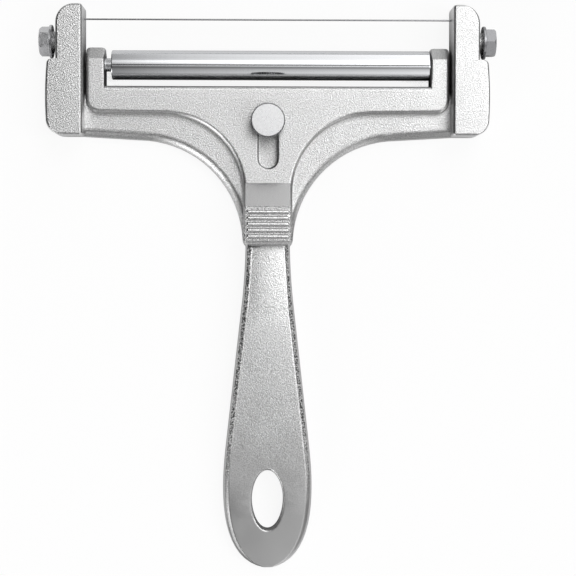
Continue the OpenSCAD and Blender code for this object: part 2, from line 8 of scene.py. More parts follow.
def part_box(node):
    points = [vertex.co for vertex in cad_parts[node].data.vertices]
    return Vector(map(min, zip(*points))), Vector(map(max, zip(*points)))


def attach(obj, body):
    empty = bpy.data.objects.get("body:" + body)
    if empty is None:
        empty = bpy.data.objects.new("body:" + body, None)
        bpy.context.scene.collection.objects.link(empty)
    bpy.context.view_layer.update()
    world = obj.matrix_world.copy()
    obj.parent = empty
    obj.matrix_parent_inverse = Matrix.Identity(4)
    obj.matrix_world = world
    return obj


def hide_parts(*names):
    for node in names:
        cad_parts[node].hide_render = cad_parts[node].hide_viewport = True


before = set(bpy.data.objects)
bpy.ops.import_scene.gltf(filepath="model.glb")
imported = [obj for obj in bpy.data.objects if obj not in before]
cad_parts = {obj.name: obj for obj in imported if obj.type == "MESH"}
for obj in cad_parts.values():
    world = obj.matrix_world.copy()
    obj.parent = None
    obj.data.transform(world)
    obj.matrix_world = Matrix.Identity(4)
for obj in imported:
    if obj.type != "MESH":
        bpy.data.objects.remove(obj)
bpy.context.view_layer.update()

bl_info = {
    "name": "Wire cheese slicer",
    "version": (1, 0, 0),
    "blender": (4, 5, 0),
    "location": "3D View > Sidebar > Slicer",
    "description": "Dresses the slicer's packed frame: castings, roller, screws, wire and a plain studio",
    "category": "Object",
}

MM = 0.001

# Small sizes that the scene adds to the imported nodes, in millimetres
# Roller tube, bushes and axle
TUBE_WALL = 1.0
TUBE_ROUND = 0.25
BUSH_CHAMFER = 0.2
BUSH_PLAY = 0.05
AXLE_CHAMFER = 0.4
# Shank of the thumb screw, and where its thread starts above the foot and stops below the head
SHANK_RADIUS = 1.7
SHANK_TIP = 1.4
SHANK_TAPER = 0.4
THREAD_RIDGE = 0.28
THREAD_START = 0.3
THREAD_STOP = 0.2
# Knurls of its head: depth of their roots, size of a ridge, height left free
KNURL_ROOT = 0.45
KNURL_RIDGE = 0.5
KNURL_GAP = 0.3
# Flat face of the head: FACE_HEIGHT is its height, FACE_EDGE its chamfer's, the others are steps inward
FACE_HEIGHT = 0.45
FACE_INSET = 0.1
FACE_EDGE = 0.4
FACE_CHAMFER = 0.16
FACE_BORDER = 0.5
# From this far in from the head's rim outwards, the head is painted darker: painted shade round its flat
# face
FACE_SHADE_STEP = 0.42
# Washers, bolts and sleeves
WASHER_HOLE = 2.06
WASHER_EASE = 0.15
BOLT_EASE = 0.2
SLEEVE_EASE = 0.1

# The way the carrier's ramp faces
RAMP_FACING = (0, 4.0, 6.3)


def node_box(node):
    """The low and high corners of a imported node, in millimetres."""
    return [[v / MM for v in corner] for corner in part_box(node)]


def linear(code):
    """An sRGB hex colour as linear RGBA."""
    parts = [int(code[i:i + 2], 16) / 255 for i in (1, 3, 5)]
    return [p / 12.92 if p <= 0.04045 else ((p + 0.055) / 1.055) ** 2.4 for p in parts] + [1.0]


def add(tree, kind, inputs=None, **settings):
    """Adds a node, sets its properties, then sets or links its inputs by name or number."""
    node = tree.nodes.new(kind)
    for key, value in settings.items():
        setattr(node, key, value)
    for key, value in (inputs or {}).items():
        socket = node.inputs[key]
        if isinstance(value, bpy.types.NodeSocket):
            tree.links.new(value, socket)
        else:
            socket.default_value = value
    return node


# Node helpers

def ranged(tree, value, start, end, first=0.0, last=1.0):
    """Runs from first to last while a value passes from start to end, and stays there outside."""
    return add(tree, "ShaderNodeMapRange", {0: value, 1: start, 2: end, 3: first, 4: last}).outputs[0]


def over(tree, value, stretch, first=0.0, last=1.0):
    """The same for a place in metres that passes a stretch given in millimetres."""
    return ranged(tree, value, stretch[0] * MM, stretch[1] * MM, first, last)


def times(tree, a, b):
    """The product of two values or sockets."""
    return add(tree, "ShaderNodeMath", {0: a, 1: b}, operation="MULTIPLY").outputs[0]


def larger(tree, a, b):
    """The larger of two values or sockets."""
    return add(tree, "ShaderNodeMath", {0: a, 1: b}, operation="MAXIMUM").outputs[0]


def left_of_one(tree, share):
    """What a share leaves of 1."""
    return add(tree, "ShaderNodeMath", {0: 1.0, 1: share}, operation="SUBTRACT").outputs[0]


def between(tree, share, a, b):
    """A value that share of the way from one value to another."""
    return add(tree, "ShaderNodeMix", {0: share, 2: a, 3: b}, data_type="FLOAT").outputs[0]


def blended(tree, share, a, b, blend="MIX"):
    """A colour that share of the way from one colour to another, or to their product."""
    return add(tree, "ShaderNodeMix", {0: share, 6: a, 7: b}, data_type="RGBA", blend_type=blend).outputs[2]


def noise(tree, place, size, detail=2.0, roughness=0.5):
    """Cloudy noise with spots of about that size in metres."""
    return add(tree, "ShaderNodeTexNoise", {
        "Vector": place, "Scale": 1 / size, "Detail": detail, "Roughness": roughness
    }).outputs["Fac"]


def split(tree, vector):
    """The parts of a vector by name."""
    return add(tree, "ShaderNodeSeparateXYZ", {0: vector}).outputs


def coordinates(tree, kind="Object"):
    """Where a place is on its piece, which way the piece faces there, or a direction in the room."""
    return add(tree, "ShaderNodeTexCoord").outputs[kind]


# Materials

# Noise hardly leaves this span
NOISE_SPAN = (0.3, 0.7)

# Bands across the front of the castings, in millimetres: middle along Y, reach to either side, height above
# the back
RAMP_BAND = (25.85, 3.3, 8.1)
PAD_BAND = (17, 5.5, 7.5)

# Stretches over which the castings' skin and painted shade change, in millimetres: along X for the arm,
# along Y for the others
FINER_ARM = (40, 46)
WORN_SHADED_END = (-60, -36)
RUBBED_SHADED_END = (-64, -42)
NARROW_EDGES = (14, 24)

# Marks in the castings' skin, in millimetres
CLOUD = 6
CRATER = 0.45
CRATER_DEPTH = 0.1
# How many times deeper the craters of the slopes are than the grain of the flats
SLOPE_CRATERS = 4.5

# Part of a surface's direction, to the side, along or up, over which its finish and its painted shade
# change
EDGE_LEAN = (0.992, 0.94)
EDGE_STEEP = (0.15, 0.45)
RIGHT_LEAN = (0.05, 0.15)
LIT_SIDE = (-0.28, -0.1)
CLEAN_SLOPE = (0.3, 0.45)

# Tones of the castings: between the dark and light skin, then between the skin and the painted shade of the
# slopes
FINER_TONE = 0.6
SHADED_SMOOTH_TONE = 0.3
NARROW_TONE = 0.65
EVEN_TONE = 0.34

# Marks on turned steel, in millimetres
TOOL_MARK = 0.7
TOOL_DEPTH = 0.02


def new_material(name):
    material = bpy.data.materials.new(name)
    material.use_nodes = True
    material.node_tree.nodes.clear()
    return material, material.node_tree


def finish_material(tree, shader):
    add(tree, "ShaderNodeOutputMaterial", {"Surface": shader.outputs[0]})


def front_band(tree, parts, middle, reach, above):
    """1 on a band of the front, given in millimetres: near a place along Y and higher than a height."""
    near = add(tree, "ShaderNodeMath", {0: parts["Y"], 1: middle * MM, 2: reach * MM}, operation="COMPARE")
    front = add(tree, "ShaderNodeMath", {0: parts["Z"], 1: above * MM}, operation="GREATER_THAN")
    return times(tree, near.outputs[0], front.outputs[0])


def blasted_casting(looks):
    """Bead-blasted aluminium die casting: an even satin skin of tiny craters that breaks highlights into
    sparkle on the flats. Edges that turn away from the light are painted darker and speckled: painted
    shade."""
    material, tree = new_material("bead_blasted_die_casting")
    place = coordinates(tree)
    parts = split(tree, place)
    facing = split(tree, coordinates(tree, "Normal"))
    grain = noise(tree, place, looks.cast_grit, 2.0, 0.6)
    craters = noise(tree, place, CRATER * MM, 1.0)
    # Metal flow in the mould leaves soft clouds
    clouds = noise(tree, place, CLOUD * MM)
    # The ramp below the slot is ground smooth, and thumbs have polished the ribbed pad below it; both also
    # take painted shade
    ground = front_band(tree, parts, *RAMP_BAND)
    pad = front_band(tree, parts, *PAD_BAND)
    # The hand has worn the skin smooth round the hang hole, and the end of the handle is painted an even,
    # darker grey: painted shade where the end leans away from the light
    away_from_end = over(tree, parts["Y"], WORN_SHADED_END, 0.1, 1.0)
    rubbed_shaded_end = over(tree, parts["Y"], RUBBED_SHADED_END, 1.0, 0.0)
    # The skin of the right arm came out finer
    finer = over(tree, parts["X"], FINER_ARM, 0.0, 0.3)
    spread = between(tree, finer, ranged(tree, grain, 0.35, 0.65), FINER_TONE)
    # The ramp and the handle's end are painted a darker, even grey: painted shade where they lean away from
    # the light
    tone = between(tree, larger(tree, ground, rubbed_shaded_end), spread, SHADED_SMOOTH_TONE)
    skin_colour = blended(tree, tone, linear(looks.cast_dark), linear(looks.cast_light))
    # Flats and upright walls are left as they are, and slopes between them get painted shade, which on the
    # right starts further over the edge
    further = ranged(tree, facing["X"], *RIGHT_LEAN, 0.0, 0.05)
    level = add(tree, "ShaderNodeMath", {0: facing["Z"], 1: further}, operation="ADD").outputs[0]
    off_wall = ranged(tree, facing["Z"], *EDGE_STEEP, 0.1, 1.0)
    leaning = times(tree, ranged(tree, level, *EDGE_LEAN), off_wall)
    # Slopes towards the handle's end on the left are spared the painted shade, and on the right mostly so,
    # so that the lamps' highlights show; edges that slope other ways are painted darker and more speckled
    shaded_unless_left = ranged(tree, larger(tree, facing["X"], facing["Y"]), *LIT_SIDE, 0.1, 1.0)
    mirrored = times(tree, facing["X"], -1.0)
    shaded_unless_right = ranged(tree, larger(tree, mirrored, facing["Y"]), *LIT_SIDE, 0.15, 1.0)
    shaded_facing = larger(tree, times(tree, shaded_unless_left, shaded_unless_right), pad)
    # Only at the handle's end is it the other way about: there the slopes towards the left get the painted
    # shade, which hides the lamp's highlight
    painted_shade = between(tree, away_from_end, left_of_one(tree, shaded_unless_left), shaded_facing)
    slope = times(tree, leaning, painted_shade)
    # The edges of the plate and arms are narrow and took no coarse craters, and their painted shade is even
    narrow = over(tree, parts["Y"], NARROW_EDGES)
    speckle = between(tree, narrow, ranged(tree, craters, 0.44, 0.56, 1.0, 0.15), NARROW_TONE)
    # Slopes that face the wire came clean from the die; on them and on the rubbed pad the painted shade is
    # an even, lighter grey
    even = larger(tree, ranged(tree, facing["Y"], *CLEAN_SLOPE), pad)
    specks = between(tree, even, between(tree, rubbed_shaded_end, speckle, 1.0), EVEN_TONE)
    # Painted shade: the slopes found above are painted towards the dark slope tone
    colour = blended(tree, times(tree, slope, specks), skin_colour, linear(looks.cast_shade))
    # Where the skin is ground or rubbed it is shinier and shows less grain
    skin = between(tree, ground, between(tree, pad, 1.0, 0.2), 0.2)
    dull = ranged(tree, skin, 0.2, 1.0, 0.6, 1.0)
    rough = times(tree, ranged(tree, clouds, *NOISE_SPAN, 0.33, 0.39), dull)
    frosted = times(tree, times(tree, skin, away_from_end), left_of_one(tree, finer))
    # Slopes caught the beads at a slant, so their craters are coarser and deeper
    smooth = left_of_one(tree, larger(tree, even, narrow))
    pitted = times(tree, times(tree, slope, frosted), smooth)
    height = add(tree, "ShaderNodeMath", {
        0: craters, 1: times(tree, pitted, SLOPE_CRATERS),
        2: times(tree, grain, times(tree, frosted, looks.cast_blast)),
    }, operation="MULTIPLY_ADD")
    bump = add(tree, "ShaderNodeBump", {
        "Strength": 1.0, "Distance": CRATER_DEPTH * MM, "Height": height.outputs[0]
    })
    shader = add(tree, "ShaderNodeBsdfPrincipled", {
        "Base Color": colour, "Metallic": 1.0, "Roughness": rough, "Normal": bump.outputs[0]
    })
    finish_material(tree, shader)
    return material


def polished_tube():
    """Polished stainless tube: a mirror with the faintest grinding lines round it."""
    material, tree = new_material("polished_stainless_tube")
    # Grinding runs round the tube, so the lines are close along X and long the other ways
    closeness = (1 / (0.3 * MM), 40, 40)
    stretched = add(tree, "ShaderNodeMapping", {"Vector": coordinates(tree), "Scale": closeness})
    lines = noise(tree, stretched.outputs[0], 1.0, 4.0)
    shader = add(tree, "ShaderNodeBsdfPrincipled", {
        "Base Color": linear("#C6C7C9"), "Metallic": 1.0,
        "Roughness": ranged(tree, lines, *NOISE_SPAN, 0.07, 0.15),
    })
    finish_material(tree, shader)
    return material


def turned_steel(name, colour, rough, dents=0.15, thread=0.0, rim=None, painted_shade="#303032"):
    """Turned and plated steel: bright, slightly cloudy, with fine tool marks. A darker tone is painted past
    a rim, given as its centre along Y and its radius, as painted shade round the edge, or else on the
    thread that lies nearer the middle than that many metres along X, as painted shade in the gap under the
    washer."""
    material, tree = new_material(name)
    place = coordinates(tree)
    marks = noise(tree, place, TOOL_MARK * MM)
    bloom = ranged(tree, marks, *NOISE_SPAN, 0.92, 1.04)
    plating = blended(tree, 1.0, linear(colour), bloom, "MULTIPLY")
    if rim:
        away = add(tree, "ShaderNodeVectorMath", {0: place, 1: (0, rim[0], 0)}, operation="SUBTRACT")
        flat = add(tree, "ShaderNodeVectorMath", {0: away.outputs[0], 1: (1, 1, 0)}, operation="MULTIPLY")
        radius = add(tree, "ShaderNodeVectorMath", {0: flat.outputs[0]}, operation="LENGTH")
        dark = add(
            tree, "ShaderNodeMath", {0: radius.outputs["Value"], 1: rim[1]}, operation="GREATER_THAN")
    else:
        out = add(tree, "ShaderNodeMath", {0: split(tree, place)["X"]}, operation="ABSOLUTE")
        dark = add(tree, "ShaderNodeMath", {0: out.outputs[0], 1: thread}, operation="LESS_THAN")
    shine = ranged(tree, marks, *NOISE_SPAN, rough - 0.05, rough + 0.05)
    bump = add(tree, "ShaderNodeBump", {"Strength": dents, "Distance": TOOL_DEPTH * MM, "Height": marks})
    shader = add(tree, "ShaderNodeBsdfPrincipled", {
        "Base Color": blended(tree, dark.outputs[0], plating, linear(painted_shade)), "Metallic": 1.0,
        "Roughness": shine, "Normal": bump.outputs[0],
    })
    finish_material(tree, shader)
    return material


def moulded_bush():
    """Moulded grey acetal: a dull waxy plug with slight mottling."""
    material, tree = new_material("moulded_acetal")
    mottle = noise(tree, coordinates(tree), 1 * MM)
    colour = blended(tree, mottle, linear("#4A4A4C"), linear("#5C5C5E"))
    shader = add(tree, "ShaderNodeBsdfPrincipled", {"Base Color": colour, "Roughness": 0.5})
    finish_material(tree, shader)
    return material


# Mesh helpers

# Edges of turned pieces sharper than this many degrees stay crisp
TURNED_CRISP = 35


def holder_object(name, data):
    """A new object in the scene that holds a mesh, a light or a camera."""
    holder = bpy.data.objects.new(name, data)
    bpy.context.scene.collection.objects.link(holder)
    return holder


def piece_from(mesh, name, body, node, material):
    """A finished piece: it rides on its body and stands for its CAD node."""
    mesh.materials.clear()
    mesh.materials.append(material)
    piece = holder_object(name, mesh)
    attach(piece, body)
    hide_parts(node)


def smoothed(mesh, angle):
    """Smooth shading, with edges over that angle kept crisp."""
    for face in mesh.polygons:
        face.use_smooth = True
    mesh.set_sharp_from_angle(angle=math.radians(angle))


def eased_copy(node, width, angle, crisp, flat=None):
    """A copy of a CAD node's mesh, joined up, with its edges over an angle eased to that width in metres.
    Edges over the crisp angle, and the border of the flat that faces a given way, are not shaded softly."""
    work = bmesh.new()
    work.from_mesh(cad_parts[node].data)
    bmesh.ops.remove_doubles(work, verts=work.verts, dist=0.002 * MM)
    bmesh.ops.dissolve_limit(work, verts=work.verts, edges=work.edges, angle_limit=math.radians(0.5))
    mesh = bpy.data.meshes.new(node + "_eased")
    work.to_mesh(mesh)
    work.free()
    holder = holder_object(node + "_holder", mesh)
    bevel = holder.modifiers.new("ease", "BEVEL")
    bevel.width = width
    bevel.segments = 2
    bevel.limit_method = "ANGLE"
    bevel.angle_limit = math.radians(angle)
    bevel.miter_outer = "MITER_ARC"
    bevel.use_clamp_overlap = True
    result = plain_mesh(holder)
    smoothed(result, crisp)
    if flat:
        crisp_border(result, Vector(flat))
    return evened(result)


def crisp_border(mesh, flat, slack=0.05):
    """Keeps the border of the flat that faces that way, give or take the slack in radians, crisp."""
    work = bmesh.new()
    work.from_mesh(mesh)
    for edge in work.edges:
        turned = [face.normal.angle(flat) for face in edge.link_faces]
        if min(turned) < slack < max(turned):
            edge.smooth = False
    work.to_mesh(mesh)
    work.free()


def evened(mesh):
    """The mesh with wide faces keeping their own direction, so that only the rounded edges shade softly."""
    holder = holder_object("even", mesh)
    holder.modifiers.new("flats", "WEIGHTED_NORMAL").keep_sharp = True
    return plain_mesh(holder)


def plain_mesh(holder):
    """The evaluated mesh of a holder object, which is then removed."""
    depsgraph = bpy.context.evaluated_depsgraph_get()
    mesh = bpy.data.meshes.new_from_object(holder.evaluated_get(depsgraph))
    bpy.data.objects.remove(holder)
    return mesh


def lathe(profile, centre, axis, steps):
    """A turned mesh. The profile is a closed loop of (along, radius) in millimetres, about axis X or Z."""
    work = bmesh.new()
    rings = []
    for k in range(steps):
        a = 2 * math.pi * k / steps
        ring = []
        for along, radius in profile:
            u, v = radius * math.cos(a), radius * math.sin(a)
            point = (along, u, v) if axis == "X" else (u, v, along)
            ring.append(work.verts.new([(point[i] + centre[i]) * MM for i in range(3)]))
        rings.append(ring)
    n = len(profile)
    for k in range(steps):
        here, there = rings[k], rings[(k + 1) % steps]
        for j in range(n):
            work.faces.new((here[j], here[(j + 1) % n], there[(j + 1) % n], there[j]))
    bmesh.ops.remove_doubles(work, verts=work.verts, dist=0.001 * MM)
    bmesh.ops.dissolve_degenerate(work, edges=work.edges, dist=0.001 * MM)
    bmesh.ops.recalc_face_normals(work, faces=work.faces)
    mesh = bpy.data.meshes.new("turned")
    work.to_mesh(mesh)
    work.free()
    smoothed(mesh, TURNED_CRISP)
    return evened(mesh)


def joined(meshes):
    """Several meshes as one."""
    work = bmesh.new()
    for mesh in meshes:
        work.from_mesh(mesh)
    result = bpy.data.meshes.new("joined")
    work.to_mesh(result)
    work.free()
    return result


# Geometry Nodes

def new_tree(name, sizes):
    """An empty geometry tree with one named input for each size, and its ends."""
    tree = bpy.data.node_groups.new(name, "GeometryNodeTree")
    tree.interface.new_socket("Geometry", in_out="INPUT", socket_type="NodeSocketGeometry")
    for label, kind in sizes:
        tree.interface.new_socket(label, in_out="INPUT", socket_type=kind)
    tree.interface.new_socket("Geometry", in_out="OUTPUT", socket_type="NodeSocketGeometry")
    return tree, tree.nodes.new("NodeGroupInput").outputs, tree.nodes.new("NodeGroupOutput")


def grown(tree, base, values):
    """Runs a tree on a base object with its inputs set by identifier, and returns a plain mesh."""
    modifier = base.modifiers.new("grow", "NODES")
    modifier.node_group = tree
    for item in tree.interface.items_tree:
        if item.in_out == "INPUT" and item.name in values:
            modifier[item.identifier] = values[item.name]
    mesh = plain_mesh(base)
    smoothed(mesh, TURNED_CRISP)
    return mesh


def end_tree(tree, out, geometry, material):
    """Closes a tree: instances become real and take their material."""
    real = add(tree, "GeometryNodeRealizeInstances", {0: geometry})
    coated = add(tree, "GeometryNodeSetMaterial", {0: real.outputs[0], 2: material})
    tree.links.new(coated.outputs[0], out.inputs[0])


def thread_tree(material):
    """A screw thread: a ridge wound along +Z round a core."""
    tree, given, out = new_tree("screw_thread", [
        ("Core radius", "NodeSocketFloat"), ("Pitch", "NodeSocketFloat"), ("Turns", "NodeSocketFloat"),
        ("Ridge", "NodeSocketFloat"),
    ])
    height = add(tree, "ShaderNodeMath", {0: given["Pitch"], 1: given["Turns"]}, operation="MULTIPLY")
    spiral = add(tree, "GeometryNodeCurveSpiral", {
        "Resolution": 32, "Rotations": given["Turns"], "Start Radius": given["Core radius"],
        "End Radius": given["Core radius"], "Height": height.outputs[0],
    })
    ridge = add(tree, "GeometryNodeCurvePrimitiveCircle", {
        "Resolution": 3, "Radius": given["Ridge"]
    }, mode="RADIUS")
    swept = add(tree, "GeometryNodeCurveToMesh", {
        0: spiral.outputs[0], 1: ridge.outputs[0], "Fill Caps": True
    })
    both = add(tree, "GeometryNodeJoinGeometry", {0: swept.outputs[0]})
    tree.links.new(given["Geometry"], both.inputs[0])
    end_tree(tree, out, both.outputs[0], material)
    return tree


def knurl_tree(material):
    """Straight knurls: upright ridges round a turned rim."""
    tree, given, out = new_tree("straight_knurl", [
        ("Count", "NodeSocketInt"), ("Rim radius", "NodeSocketFloat"), ("Ridge", "NodeSocketFloat"),
        ("Height", "NodeSocketFloat"), ("Centre", "NodeSocketVector"),
    ])
    base = add(tree, "ShaderNodeMath", {0: given["Rim radius"], 1: given["Ridge"]}, operation="SUBTRACT")
    circle = add(tree, "GeometryNodeMeshCircle", {"Vertices": given["Count"], "Radius": base.outputs[0]})
    outward = add(tree, "GeometryNodeInputPosition").outputs[0]
    turn = add(tree, "FunctionNodeAlignRotationToVector", {"Vector": outward}, axis="X", pivot_axis="Z")
    ridge = add(tree, "GeometryNodeMeshCylinder", {
        "Vertices": 3, "Radius": given["Ridge"], "Depth": given["Height"]
    })
    ring = add(tree, "GeometryNodeInstanceOnPoints", {
        "Points": circle.outputs[0], "Instance": ridge.outputs[0], "Rotation": turn.outputs[0]
    })
    placed = add(tree, "GeometryNodeTransform", {0: ring.outputs[0], "Translation": given["Centre"]})
    both = add(tree, "GeometryNodeJoinGeometry", {0: placed.outputs[0]})
    tree.links.new(given["Geometry"], both.inputs[0])
    end_tree(tree, out, both.outputs[0], material)
    return tree


# Sizes and colours a user would change

class SlicerLooks(bpy.types.PropertyGroup):
    """Finishes and fine detail of the slicer."""
    cast_light: bpy.props.StringProperty(
        name="Casting, light", description="Light tone of the blasted skin, as sRGB hex", default="#E6E6E6")
    cast_dark: bpy.props.StringProperty(
        name="Casting, dark", description="Dark tone of the blasted skin, as sRGB hex", default="#ACACAC")
    # The slope tone is painted shade: edges that turn away from the light are painted this dark
    cast_shade: bpy.props.StringProperty(
        name="Casting, bare",
        description="Tone of sloping edges that the blast hardly reached, as sRGB hex",
        default="#505050")
    cast_grit: bpy.props.FloatProperty(
        name="Grit",
        description="Size of a crater in the blasted skin, drawn a little coarse so that it shows",
        default=0.31 * MM, unit="LENGTH", precision=5)
    cast_blast: bpy.props.FloatProperty(
        name="Blast", description="How strongly the blasted skin breaks the light",
        default=1.0, subtype="FACTOR")
    edge_ease: bpy.props.FloatProperty(
        name="Edge ease", description="Width of the break on hard edges",
        default=0.25 * MM, unit="LENGTH", precision=5)
    thread_pitch: bpy.props.FloatProperty(
        name="Thread pitch", description="Pitch of the M4 threads",
        default=0.7 * MM, unit="LENGTH", precision=5)
    knurl_count: bpy.props.IntProperty(
        name="Knurls", description="Ridges round the thumb screw's head", default=36)


class SlicerStudio(bpy.types.PropertyGroup):
    """Camera, light and floor."""
    lens: bpy.props.FloatProperty(
        name="Lens", description="Focal length on a 36 mm frame", default=99.19, subtype="DISTANCE_CAMERA")
    distance: bpy.props.FloatProperty(
        name="Distance", description="Camera to the floor", default=0.4399, unit="LENGTH")
    floor_colour: bpy.props.StringProperty(
        name="Floor", description="Colour of the floor, as sRGB hex", default="#F2F2F2")


class SlicerOperator:
    """What the slicer's operators share."""
    bl_options = {"REGISTER", "UNDO"}

    @property
    def looks(self):
        return bpy.context.scene.slicer_looks


class SLICER_OT_castings(SlicerOperator, bpy.types.Operator):
    """Frame and roller carrier as bead-blasted castings with eased edges"""
    bl_idname = "slicer.castings"
    bl_label = "Castings"

    def execute(self, context):
        casting = blasted_casting(self.looks)
        for node, body, flat in (
            ("handle_frame", "frame", None),
            ("roller_carrier", "carrier", RAMP_FACING),
        ):
            mesh = eased_copy(node, self.looks.edge_ease, angle=40, crisp=30, flat=flat)
            piece_from(mesh, node + "_casting", body, node, casting)
        return {"FINISHED"}


class SLICER_OT_roller(SlicerOperator, bpy.types.Operator):
    """Polished roller tube, its bushes and the axle"""
    bl_idname = "slicer.roller"
    bl_label = "Roller"

    def execute(self, context):
        low, high = node_box("roller_tube")
        centre = [0, (low[1] + high[1]) / 2, (low[2] + high[2]) / 2]
        tube = self.tube(low[0], high[0], (high[1] - low[1]) / 2, centre)
        piece_from(tube, "polished_roller", "roller", "roller_tube", polished_tube())
        low, high = node_box("roller_axle")
        radius = (high[1] - low[1]) / 2
        acetal = moulded_bush()
        for side in ("left", "right"):
            bush = self.bush("roller_bush_" + side, radius + BUSH_PLAY, centre)
            piece_from(bush, "bush_" + side, "roller", "roller_bush_" + side, acetal)
        axle = self.axle(low[0], high[0], radius, centre)
        drawn = turned_steel("drawn_axle_steel", "#BFC0C2", 0.25)
        piece_from(axle, "axle", "carrier", "roller_axle", drawn)
        return {"FINISHED"}

    def tube(self, a, b, r, centre):
        """The tube from a to b along X, with rounded rims."""
        c = TUBE_ROUND
        # The middle of a quarter round lies about this far in from the corner
        d = 0.3 * c
        bore = r - TUBE_WALL
        return lathe([
            (a, bore), (a, r - c), (a + d, r - d), (a + c, r),
            (b - c, r), (b - d, r - d), (b, r - c), (b, bore),
        ], centre, "X", 128)

    def bush(self, node, inner, centre):
        """A bush with eased rims, filling the box of its CAD node."""
        low, high = node_box(node)
        a, b, outer, c = low[0], high[0], (high[1] - low[1]) / 2, BUSH_CHAMFER
        return lathe([
            (a, inner + c), (a, outer - c), (a + c, outer), (b - c, outer),
            (b, outer - c), (b, inner + c), (b - c, inner), (a + c, inner)
        ], centre, "X", 64)

    def axle(self, a, b, r, centre):
        """The pin from a to b along X, with chamfered ends."""
        c = AXLE_CHAMFER
        return lathe([(a, 0), (a, r - c), (a + c, r), (b - c, r), (b, r - c), (b, 0)], centre, "X", 64)


class SLICER_OT_thumb_screw(SlicerOperator, bpy.types.Operator):
    """Knurled thumb screw and its washer"""
    bl_idname = "slicer.thumb_screw"
    bl_label = "Thumb screw"

    def execute(self, context):
        low, high = node_box("thumb_screw")
        y, r = (low[1] + high[1]) / 2, (high[0] - low[0]) / 2
        # The head is painted darker from near its rim outwards: a painted shade line round its flat face
        shaded_rim = (y * MM, (r - FACE_SHADE_STEP) * MM)
        plated = turned_steel("nickel_plated_steel", "#D2D2D3", 0.3, 0.05, rim=shaded_rim, painted_shade="#6E6E70")
        under = node_box("thumb_washer")[1][2]
        screw = joined([
            self.knob(plated, low[2], under, high[2], y, r),
            self.thread(plated, low[2] + THREAD_START, under - THREAD_STOP, y)
        ])
        piece_from(screw, "knurled_screw", "thumb_screw", "thumb_screw", plated)
        mesh = washer_mesh("thumb_washer", "Z")
        piece_from(mesh, "thumb_screw_washer", "thumb_washer", "thumb_washer", plated)
        return {"FINISHED"}

    def knob(self, material, foot, under, top, y, r):
        """The shank and the head, knurled below a flat face."""
        rim = top - FACE_HEIGHT
        root, face = r - KNURL_ROOT, r - FACE_INSET
        core = lathe([
            (foot, 0), (foot, SHANK_TIP), (foot + SHANK_TAPER, SHANK_RADIUS), (under, SHANK_RADIUS),
            (under, root), (rim, root), (rim, face), (top - FACE_EDGE, face),
            (top, face - FACE_CHAMFER), (top, face - FACE_BORDER), (top, 0)
        ], [0, y, 0], "Z", 96)
        core.materials.append(material)
        return grown(knurl_tree(material), holder_object("knob_core", core), {
            "Count": self.looks.knurl_count, "Rim radius": r * MM, "Ridge": KNURL_RIDGE * MM,
            "Height": (rim - under - KNURL_GAP) * MM, "Centre": (0, y * MM, (under + rim) / 2 * MM),
        })

    def thread(self, material, low, high, y):
        """The ridge of the thread on the shank."""
        pitch = self.looks.thread_pitch
        holder = holder_object("thread_core", bpy.data.meshes.new("thread_core"))
        mesh = grown(thread_tree(material), holder, {
            "Core radius": SHANK_RADIUS * MM, "Pitch": pitch, "Turns": (high - low) * MM / pitch,
            "Ridge": THREAD_RIDGE * MM,
        })
        mesh.transform(Matrix.Translation((0, y * MM, low * MM)))
        return mesh


def washer_mesh(node, axis):
    """A stamped washer with eased rims, filling the box of its CAD node."""
    low, high = node_box(node)
    k = "XYZ".index(axis)
    other = 1 if axis == "X" else 0
    centre = [(low[i] + high[i]) / 2 for i in range(3)]
    centre[k] = 0
    a, b, r, hole, c = low[k], high[k], (high[other] - low[other]) / 2, WASHER_HOLE, WASHER_EASE
    return lathe([
        (a, hole + c), (a, r - c), (a + c, r), (b - c, r),
        (b, r - c), (b, hole + c), (b - c, hole), (a + c, hole)
    ], centre, axis, 72)


class SLICER_OT_clamps(SlicerOperator, bpy.types.Operator):
    """Hex bolts and washers that hold the wire"""
    bl_idname = "slicer.clamps"
    bl_label = "Wire clamps"

    def execute(self, context):
        # The bolts' shanks nearer the middle than the washers' inner faces are painted dark: painted shade
        # in the gap between each arm and its washer
        thread_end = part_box("wire_washer_right")[0][0]
        # The right bolt and its washer are painted darker than the left ones, though the plating is the
        # same: painted shade
        for side, name, colour in (
            ("left", "zinc_plated_bolt_steel", "#B6B6B8"),
            ("right", "shaded_zinc_plated_bolt_steel", "#868688"),
        ):
            plated = turned_steel(name, colour, 0.24, dents=1.0, thread=thread_end)
            mesh = eased_copy("wire_bolt_" + side, BOLT_EASE * MM, angle=25, crisp=30)
            piece_from(mesh, "bolt_" + side, side + "_bolt", "wire_bolt_" + side, plated)
            washer = "wire_washer_" + side
            mesh = washer_mesh(washer, "X")
            piece_from(mesh, "washer_" + side, side + "_washer", washer, plated)
        return {"FINISHED"}


class SLICER_OT_wire(SlicerOperator, bpy.types.Operator):
    """Cutting wire and the crimped sleeves on its ends"""
    bl_idname = "slicer.wire"
    bl_label = "Wire"

    def execute(self, context):
        drawn = turned_steel("drawn_wire_steel", "#8C8C8E", 0.25)
        mesh = eased_copy("cutting_wire", 0.0, angle=80, crisp=60)
        piece_from(mesh, "taut_wire", "frame", "cutting_wire", drawn)
        crimped = turned_steel("crimped_sleeve_steel", "#A4A4A6", 0.35)
        for side in ("left", "right"):
            mesh = eased_copy("wire_sleeve_" + side, SLEEVE_EASE * MM, angle=40, crisp=30)
            piece_from(mesh, "sleeve_" + side, "frame", "wire_sleeve_" + side, crimped)
        return {"FINISHED"}


